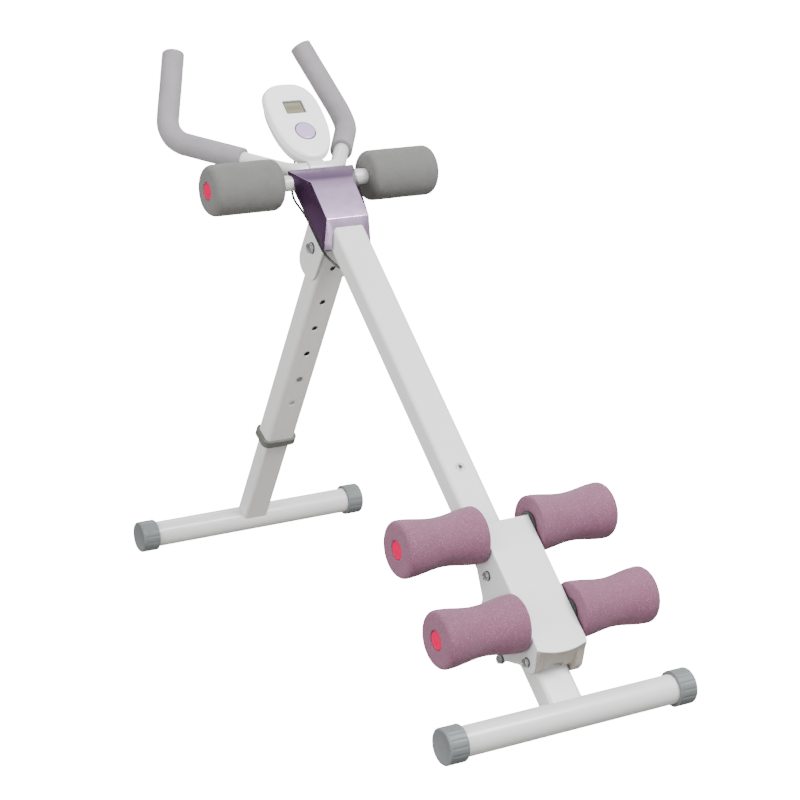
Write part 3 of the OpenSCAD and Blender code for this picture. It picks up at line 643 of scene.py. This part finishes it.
def add_hex(name, base, axis, flats, height, body, materials, dish=0.0):
    """A hexagonal head or nut with its corners turned off, standing on base along axis."""
    axis = axis.normalized()
    side = axis.orthogonal().normalized()
    other = axis.cross(side)
    corner = flats / math.sqrt(3)
    levels = [(0, corner * 0.97), (height * 0.06, corner), (height * 0.78, corner),
              (height * 0.9, flats * 0.545), (height * 0.97, flats * 0.51), (height, flats * 0.47)]
    levels += [(height - dish * 0.5, flats * 0.40), (height - dish, flats * 0.30), (height - dish, 0.0002)]
    points, sides = [], 96
    for along, limit in levels:
        for k in range(sides):
            a = 2 * math.pi * k / sides
            r = min(hex_radius(a, flats), limit)
            points.append(base + axis * along + (side * math.cos(a) + other * math.sin(a)) * r)
    faces = ring_faces(len(levels), sides, False)
    faces += [tuple(range(sides)), tuple(range((len(levels) - 1) * sides, len(levels) * sides))]
    return piece(name, points, faces, body, materials["fastener"], 28)


def add_washer(name, base, axis, radius, thick, bore, body, material):
    edge = thick * 0.3
    profile = [(0, bore), (0, radius - edge), (edge, radius), (thick - edge, radius), (thick, radius - edge),
               (thick, bore)]
    points, faces = lathe(base, axis, profile, 72, True)
    return piece(name, points, faces, body, material, 28)


def add_shaft(name, start, axis, radius, length, body, materials, turns=0):
    """A rod with a chamfered end; turns of thread rise near its end."""
    profile = [(0, radius)]
    steps = 60
    for i in range(1, steps):
        x = (length - 0.001) * i / steps
        threaded = turns and x > length - 0.014
        profile.append((x, radius - (0.00035 * (i % 2) if threaded else 0)))
    profile += [(length - 0.001, radius), (length, radius - 0.001), (length, 0.0002)]
    points, faces = lathe(start, axis, profile, 48)
    return piece(name, points, faces, body, materials["fastener"], 30)


def add_axles(materials):
    low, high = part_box("carriage_cover")
    nuts_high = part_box("axle_nuts")[1]
    bolts_low, bolts_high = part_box("axle_bolts")
    flats, washer = 0.013, 0.0014
    for name in ("top_wheel_lower", "top_wheel_upper", "under_wheel_lower", "under_wheel_upper"):
        point = joint_point(f"{name}_spin")
        left = Vector((low.x, point.y, point.z))
        right = Vector((high.x, point.y, point.z))
        under_head, under_nut = left - ACROSS * washer, right + ACROSS * washer
        shaft = add_shaft(f"axle_{name}", under_head, ACROSS, 0.004, bolts_high.x - low.x + washer,
                          "carriage", materials, 1)
        head = add_hex(f"axle_head_{name}", under_head, -ACROSS, flats, low.x - washer - bolts_low.x,
                       "carriage", materials, 0.0012)
        nut = add_hex(f"axle_nut_{name}", under_nut, ACROSS, flats, nuts_high.x - high.x - washer,
                      "carriage", materials)
        # Dark washers: painted shade for the dark rings round the bolts and the dark gap at the cover's edges.
        for word, base, axis in (("left", left, -ACROSS), ("right", right, ACROSS)):
            add_washer(f"axle_washer_{name}_{word}", base, axis, 0.0082, washer, 0.004, "carriage",
                       materials["ring_dark"])
        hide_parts("axle_bolts")
        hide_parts("axle_bolts")
        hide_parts("axle_nuts")


def add_pivot(materials):
    pivot = joint_point("leg_fold")
    washers_low, washers_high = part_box("pivot_washers")
    bolt_low, bolt_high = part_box("pivot_bolt")
    nut_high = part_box("pivot_nut")[1]
    left = Vector((washers_low.x, pivot.y, pivot.z))
    right = Vector((washers_high.x, pivot.y, pivot.z))
    head = add_hex("pivot_head", left, -ACROSS, 0.017, washers_low.x - bolt_low.x, "frame", materials, 0.0015)
    shaft = add_shaft("pivot_shaft", left, ACROSS, 0.005, bolt_high.x - washers_low.x, "frame", materials, 1)
    nut = add_hex("pivot_lock_nut", right, ACROSS, 0.017, nut_high.x - washers_high.x, "frame", materials)
    # Dark washers: painted shade for the dark ring seen round the pivot bolt.
    for word, base, axis in (("left", left, ACROSS), ("right", right, -ACROSS)):
        ring = add_washer(f"pivot_ring_{word}", base, axis, 0.0105, 0.0016, 0.005, "frame",
                          materials["ring_dark"])
        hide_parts("pivot_washers")
    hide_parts("pivot_bolt")
    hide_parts("pivot_bolt")
    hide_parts("pivot_nut")


# Shells -------------------------------------------------------------------------------------


def shaped(obj, *modifiers):
    """Applies modifiers, given as (type, settings), to a piece."""
    for kind, settings in modifiers:
        modifier = obj.modifiers.new(kind.lower(), kind)
        for key, value in settings.items():
            setattr(modifier, key, value)
    bpy.context.view_layer.update()
    graph = bpy.context.evaluated_depsgraph_get()
    mesh = bpy.data.meshes.new_from_object(obj.evaluated_get(graph))
    obj.modifiers.clear()
    obj.data = mesh
    return obj


def signed_power(value, power):
    return math.copysign(abs(value) ** power, value)


class Console:
    """Places of the console, measured from its two CAD shells."""

    def __init__(self):
        low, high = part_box("console_front")
        self.half = high.x
        self.low_s, self.high_s = extent("console_front", UP)
        self.face = extent("console_front", OUT)[1]
        self.split = extent("console_front", OUT)[0]
        self.floor = extent("console_back", OUT)[0]
        self.wide_s = self.high_s - 0.076
        self.lcd_s = sum(extent("lcd_window", UP)) / 2
        self.button_s = sum(extent("console_button", UP)) / 2

    def at(self, x, s, n):
        return ACROSS * x + UP * s + OUT * n

    def outline(self, inset, steps=160):
        """Points [x, s] of the egg-shaped outline, pulled in by inset."""
        points = []
        for k in range(steps):
            a = 2 * math.pi * k / steps
            upper = math.sin(a) > 0
            power = 2 / 2.9 if upper else 2 / 2.15
            reach = (self.high_s - self.wide_s if upper else self.wide_s - self.low_s) - inset
            points.append(((self.half - inset) * signed_power(math.cos(a), power),
                           self.wide_s + reach * signed_power(math.sin(a), power)))
        return points

    def shell(self, levels):
        """Points and faces of stacked outlines [(n, inset)]."""
        points = [self.at(x, s, n) for n, inset in levels for x, s in self.outline(inset)]
        faces = ring_faces(len(levels), 160, False)
        faces += [tuple(range(160)), tuple(range((len(levels) - 1) * 160, len(levels) * 160))]
        return points, faces


def cutter(points, faces):
    mesh = bpy.data.meshes.new("cutter")
    mesh.from_pydata([tuple(p) for p in points], [], faces)
    build = bmesh.new()
    build.from_mesh(mesh)
    bmesh.ops.recalc_face_normals(build, faces=build.faces)
    build.to_mesh(mesh)
    build.free()
    obj = bpy.data.objects.new("cutter", mesh)
    bpy.context.scene.collection.objects.link(obj)
    return obj


def cut(obj, *cutters):
    for tool in cutters:
        shaped(obj, ("BOOLEAN", {"object": tool, "operation": "DIFFERENCE", "solver": "EXACT"}))
        bpy.data.objects.remove(tool)
    return obj


def rounded_box(at, half_x, half_s, corner, n0, n1, center_s, steps=8):
    """Cutter or pad with a rounded rectangular outline, between two levels."""
    outline = []
    for quadrant in range(4):
        cx = (half_x - corner) * (1 if quadrant in (0, 3) else -1)
        cs = (half_s - corner) * (1 if quadrant in (0, 1) else -1)
        for i in range(steps + 1):
            a = math.pi / 2 * (quadrant + i / steps)
            outline.append((cx + corner * math.cos(a), center_s + cs + corner * math.sin(a)))
    points = [at(x, s, n) for n in (n0, n1) for x, s in outline]
    sides = len(outline)
    return points, ring_faces(2, sides, False) + [tuple(range(sides)), tuple(range(sides, 2 * sides))]


def finish_shading(obj, degrees):
    for polygon in obj.data.polygons:
        polygon.use_smooth = True
    sharpen(obj.data, degrees)


def add_console(materials):
    c = Console()
    depth = 0.0075
    front = [(c.split, 0.0006), (c.split + 0.0006, 0.0)]
    front += [(c.split + (c.face - depth - c.split) * i / 4, 0.0003 * i) for i in range(1, 5)]
    front += [(c.face - depth + depth * math.sin(t), 0.0012 + 0.007 * (1 - math.cos(t)))
              for t in [math.radians(10 * i) for i in range(1, 10)]]
    front += [(c.face + 0.0002, 0.016), (c.face + 0.0003, 0.030)]
    points, faces = c.shell(front)
    shell = piece("console_shell_front", points, faces, "frame", materials["console_white"])
    button_radius = (extent("button_ring", ACROSS)[1] - extent("button_ring", ACROSS)[0]) / 2
    hole_points, hole_faces = lathe(c.at(0, c.button_s, c.face - 0.006), OUT,
                                    [(0, button_radius), (0.02, button_radius)], 96)
    window = rounded_box(c.at, 0.0200, 0.0150, 0.0022, c.face - 0.0035, c.face + 0.01, c.lcd_s)
    cut(shell, cutter(hole_points, hole_faces), cutter(*window))
    finish_shading(shell, 28)
    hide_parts("console_front")

    # A dark ring inside the gap between the shells: painted shade in the seam.
    seam = [(c.split - 0.0010, 0.0016), (c.split + 0.0002, 0.0016)]
    points, faces = c.shell(seam)
    groove = piece("console_seam", points, faces, "frame", materials["ring_dark"])
    depth = c.split - c.floor
    back = [(c.split - 0.0008, 0.0012)]
    back += [(c.split - 0.001 - depth * 0.6 * i / 6, 0.0010 + 0.0012 * i) for i in range(1, 7)]
    back += [(c.floor + depth * 0.4 * (1 - math.sin(t)), 0.0082 + 0.011 * (1 - math.cos(t)))
             for t in [math.radians(15 * i) for i in range(1, 7)]]
    points, faces = c.shell(back)
    rear = piece("console_shell_back", points, faces, "frame", materials["console_white"])
    cut(rear, *bar_cutters(c))
    finish_shading(rear, 28)
    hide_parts("console_back")
    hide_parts("console_back")
    add_display(c, materials)
    add_button(c, materials, button_radius)


def bar_cutters(c):
    """Room in the back shell for the handlebar and its saddle."""
    path = [p for p in bar_path() if abs(p.x) < 0.09]
    points, faces = swept(path, BAR_RADIUS + 0.0008, 48)
    faces += [tuple(range(48)), tuple(range((len(path) - 1) * 48, len(path) * 48))]
    low_s, high_s, low_n, high_n = c.low_s - 0.03, c.low_s + 0.012, c.floor - 0.01, c.split + 0.01
    saddle = [c.at(x, s, n) for x in (-0.0165, 0.0165)
              for s, n in ((low_s, low_n), (high_s, low_n), (high_s, high_n), (low_s, high_n))]
    sides = ring_faces(2, 4, False) + [(0, 1, 2, 3), (4, 5, 6, 7)]
    return cutter(points, faces), cutter(saddle, sides)


def add_display(c, materials):
    """Sunken window: dark frame and olive panel with blank digits."""
    level = c.face - 0.0033
    points, faces = rounded_box(c.at, 0.0199, 0.0149, 0.0021, level, level + 0.0006, c.lcd_s)
    border = piece("lcd_border", points, faces, "frame", materials["ring_dark"])
    points, faces = rounded_box(c.at, 0.0168, 0.0118, 0.0008, level + 0.0007, level + 0.0010, c.lcd_s)
    panel = piece("lcd_panel", points, faces, "frame", materials["lcd_panel"])
    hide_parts("lcd_window")
    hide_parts("lcd_module")
    for index in range(4):
        add_digit(c, materials, 0.0068 * (index - 1.5), level + 0.00105, index)


def add_digit(c, materials, x, level, index):
    """Seven thin unlit-looking segments of a blank display digit."""
    points, faces = [], []
    long, wide = 0.0040, 0.0007
    bars = [(0, 1, True), (0, 0, True), (0, -1, True)]
    bars += [(sx, sn, False) for sx in (-1, 1) for sn in (-0.5, 0.5)]
    for bx, by, flat in bars:
        half_x, half_s = (long / 2 - wide, wide / 2) if flat else (wide / 2, long / 2 - wide)
        cx, cs = x + bx * long / 2, c.lcd_s + by * long
        start = len(points)
        for n in (level, level + 0.0001):
            for sx, ss in ((-1, -1), (1, -1), (1, 1), (-1, 1)):
                points.append(c.at(cx + sx * half_x, cs + ss * half_s, n))
        faces += [(start + a, start + b, start + d, start + e) for a, b, d, e in
                  ((0, 1, 2, 3), (4, 5, 6, 7), (0, 1, 5, 4), (1, 2, 6, 5), (2, 3, 7, 6), (3, 0, 4, 7))]
    piece(f"lcd_digit_{index}", points, faces, "frame", materials["black_plastic"])


def add_button(c, materials, ring):
    """Domed button in a dark ring."""
    center = c.at(0, c.button_s, c.face)
    profile = [(-0.0025, ring), (-0.0002, ring), (0.0003, ring - 0.0004), (0.0003, ring - 0.0012),
               (-0.0012, ring - 0.0016), (-0.0025, ring - 0.0016)]
    points, faces = lathe(center, OUT, profile, 96, True)
    trim = piece("button_trim", points, faces, "frame", materials["ring_dark"])
    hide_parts("button_ring")
    radius = ring - 0.0020
    profile = [(-0.004, radius)]
    profile += quarter(0.0003, radius - 0.0013, 0.0013, 90, 25, 6)
    profile += [(0.0016 + 0.0011 * (1 - (r / radius) ** 2), r) for r in
                [radius * (1 - i / 12) for i in range(2, 12)] + [0.0003]]
    points, faces = lathe(center, OUT, profile, 96)
    cap = piece("button_cap", points, faces, "button", materials["button_lavender"])
    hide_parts("console_button")


# Head cover ---------------------------------------------------------------------------------

# Corners of the folded sheet on the right side: ledge, face, skirt and the side's back edge
COVER = {
    "ledge_back": Vector((0.066, 0.2399, 0.770)),
    "ledge_front": Vector((0.0415, 0.1959, 0.7535)),
    "fold": Vector((0.0415, 0.1399, 0.6975)),
    "hem": Vector((0.0465, 0.1419, 0.643)),
    "side_low": Vector((0.0470, 0.1929, 0.681)),
    "side_mid": Vector((0.0490, 0.2219, 0.709)),
    "side_high": Vector((0.0560, 0.2369, 0.735)),
}


def add_cover(materials):
    """A folded sheet: sloping ledge, flat face, upright skirt with an arch over the beam, and two sides."""
    right = COVER
    left = {k: Vector((-v.x, v.y, v.z)) for k, v in COVER.items()}
    points = []

    def add(p):
        points.append(p)
        return len(points) - 1

    r = {k: add(v) for k, v in right.items()}
    l = {k: add(v) for k, v in left.items()}
    arch = [add(p) for p in arch_points()]
    rim = [add(p) for p in rim_points()]
    outer = [r["hem"], *rim[:4], r["fold"], *rim[4:6], *rim[6:8], l["fold"], *rim[8:], l["hem"]]
    faces = [
        (l["ledge_back"], r["ledge_back"], r["ledge_front"], l["ledge_front"]),
        (l["ledge_front"], r["ledge_front"], r["fold"], *rim[4:8], l["fold"]),
        (r["ledge_front"], r["ledge_back"], r["side_high"], r["side_mid"], r["side_low"], r["hem"], *rim[:4],
         r["fold"]),
        (l["fold"], *rim[8:], l["hem"], l["side_low"], l["side_mid"], l["side_high"], l["ledge_back"],
         l["ledge_front"]),
    ]
    faces += [(outer[i], outer[i + 1], arch[i + 1], arch[i]) for i in range(len(arch) - 1)]
    shell = piece("cover_shell", points, faces, "frame", materials["cover_lavender"])
    shaped(shell, ("SOLIDIFY", {"thickness": 0.0022, "offset": -1.0}),
           ("BEVEL", {"width": 0.0022, "segments": 4, "limit_method": "ANGLE",
                      "angle_limit": math.radians(25)}))
    finish_shading(shell, 35)
    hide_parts("head_cover")


def arch_points():
    """Outline of the opening over the beam, from its right foot over the top to its left foot."""
    half, foot, top, corner = 0.0325, 0.643, 0.6795, 0.014
    across = [(half, foot), (half, foot + 0.008)]
    across += [(half - corner + corner * math.cos(a), top - corner + corner * math.sin(a))
               for a in [math.radians(18 * i) for i in range(6)]]
    painted_shade_tone = across + [(-x, z) for x, z in reversed(across)]
    low, high = COVER["hem"], COVER["fold"]
    lean = (high.y - low.y) / (high.z - low.z)
    return [Vector((x, low.y - 0.0045 + lean * (z - low.z), z)) for x, z in painted_shade_tone]


def rim_points():
    """Points along the skirt's outer edge that face those of the arch between hem and fold."""
    low, high = COVER["hem"], COVER["fold"]
    side = [low.lerp(high, t) for t in (0.25, 0.5, 0.7, 0.85)]
    top = [Vector((high.x * t, high.y, high.z)) for t in (0.6, 0.3)]
    right = side + top
    return right + mirrored(reversed(right), -1)


def main():
    add_camera()
    materials = make_materials()
    add_studio()
    dress_frame(materials)
    add_foam(materials)
    add_bar(materials)
    add_grips(materials)
    add_plugs(materials)
    add_foot_caps(materials)
    add_axles(materials)
    add_pivot(materials)
    add_console(materials)
    add_cover(materials)


main()
